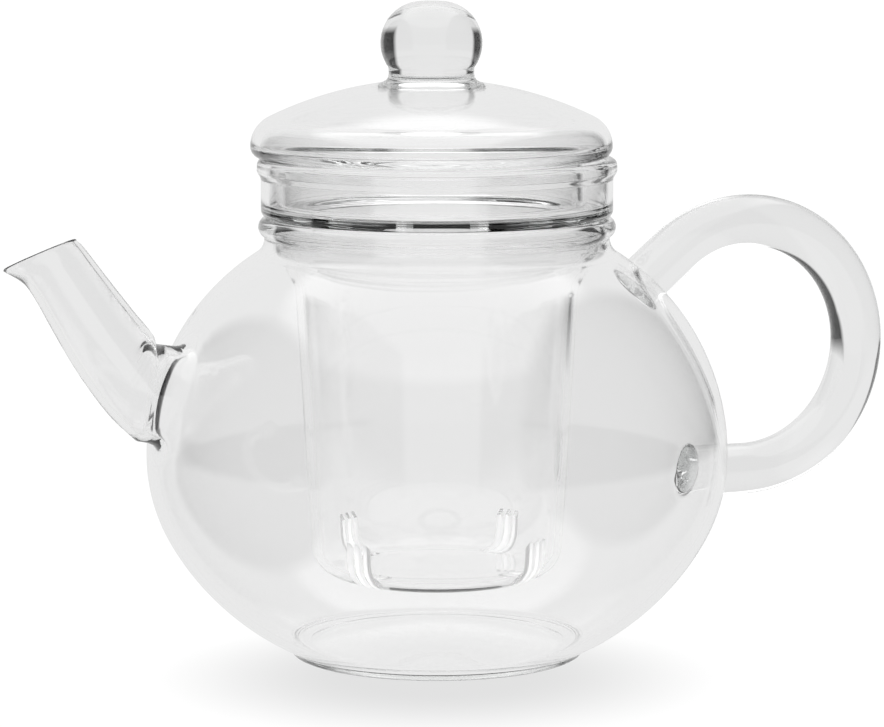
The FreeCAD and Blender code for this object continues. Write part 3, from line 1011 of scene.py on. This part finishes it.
class TeapotStage(bpy.types.PropertyGroup):
    """The table, the surroundings and the camera."""

    table_glow: FloatProperty(
        name="Table glow", description="Light given out by the table", default=0.82
    )
    backdrop: FloatProperty(
        name="Backdrop", description="Brightness of the surroundings", default=1.0
    )
    camera_turn: FloatProperty(
        name="Camera turn",
        description="Turn of the camera about the pot",
        default=math.radians(-22.0),
        subtype="ANGLE",
    )
    camera_distance: FloatProperty(
        name="Camera distance", description="Distance from the axis", default=0.98, unit="LENGTH"
    )
    camera_height: FloatProperty(
        name="Camera height", description="Height over the table", default=0.207, unit="LENGTH"
    )
    aim_height: FloatProperty(
        name="Aim height", description="Height that the camera looks at", default=0.0738, unit="LENGTH"
    )
    aim_side: FloatProperty(
        name="Aim side", description="How far beside the axis it looks", default=0.00125, unit="LENGTH"
    )
    lens: FloatProperty(name="Lens", description="Focal length in millimetres", default=159.6)


# --- Operators ---


class TEAPOT_OT_pot(bpy.types.Operator):
    """Build the pot with its spout and handle"""

    bl_idname = "teapot.pot"
    bl_label = "Pot"

    def execute(self, context):
        scene = context.scene
        material = glass("pot_clear", scene.teapot_glass, 0.09)
        item = make_pot(scene.teapot_pot, material)
        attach(item, "pot")
        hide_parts("pot_body", "pour_spout", "loop_handle")
        return {"FINISHED"}


class TEAPOT_OT_infuser(bpy.types.Operator):
    """Build the infuser with its slits"""

    bl_idname = "teapot.infuser"
    bl_label = "Infuser"

    def execute(self, context):
        scene = context.scene
        clear = glass("infuser_clear", scene.teapot_glass, 0.05)
        item = make_infuser(scene.teapot_infuser, clear, ground_glass_painted_glow(scene.teapot_glass))
        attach(item, "infuser")
        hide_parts("infuser")
        return {"FINISHED"}


class TEAPOT_OT_lid(bpy.types.Operator):
    """Build the lid with its knob"""

    bl_idname = "teapot.lid"
    bl_label = "Lid"

    def execute(self, context):
        scene = context.scene
        material = glass("lid_clear", scene.teapot_glass, 0.06)
        item = make_lid(scene.teapot_lid, material)
        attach(item, "lid")
        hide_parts("lid_dome", "lid_knob")
        return {"FINISHED"}


class TEAPOT_OT_stage(bpy.types.Operator):
    """Build the table, the surroundings and the camera"""

    bl_idname = "teapot.stage"
    bl_label = "Stage"

    def execute(self, context):
        make_stage(context.scene.teapot_stage)
        return {"FINISHED"}


class TEAPOT_PT_panel(bpy.types.Panel):
    """Lists the teapot's pieces"""

    bl_label = "Glass Teapot"
    bl_idname = "TEAPOT_PT_panel"
    bl_space_type = "VIEW_3D"
    bl_region_type = "UI"
    bl_category = "Teapot"

    def draw(self, context):
        for operator in OPERATORS:
            self.layout.operator(operator.bl_idname)
        for name in SETTINGS:
            group = getattr(context.scene, name)
            for key in group.bl_rna.properties.keys():
                if key not in ("rna_type", "name"):
                    self.layout.prop(group, key)


SETTINGS = {
    "teapot_pot": TeapotPot,
    "teapot_infuser": TeapotInfuser,
    "teapot_lid": TeapotLid,
    "teapot_glass": TeapotGlass,
    "teapot_stage": TeapotStage,
}
OPERATORS = (TEAPOT_OT_pot, TEAPOT_OT_infuser, TEAPOT_OT_lid, TEAPOT_OT_stage)
CLASSES = (*SETTINGS.values(), *OPERATORS, TEAPOT_PT_panel)


def register():
    for item in CLASSES:
        bpy.utils.register_class(item)
    for name, group in SETTINGS.items():
        setattr(bpy.types.Scene, name, PointerProperty(type=group))


def unregister():
    for name in SETTINGS:
        delattr(bpy.types.Scene, name)
    for item in reversed(CLASSES):
        bpy.utils.unregister_class(item)


def main():
    register()
    bpy.ops.teapot.pot()
    bpy.ops.teapot.infuser()
    bpy.ops.teapot.lid()
    bpy.ops.teapot.stage()


if __name__ == "__main__":
    main()
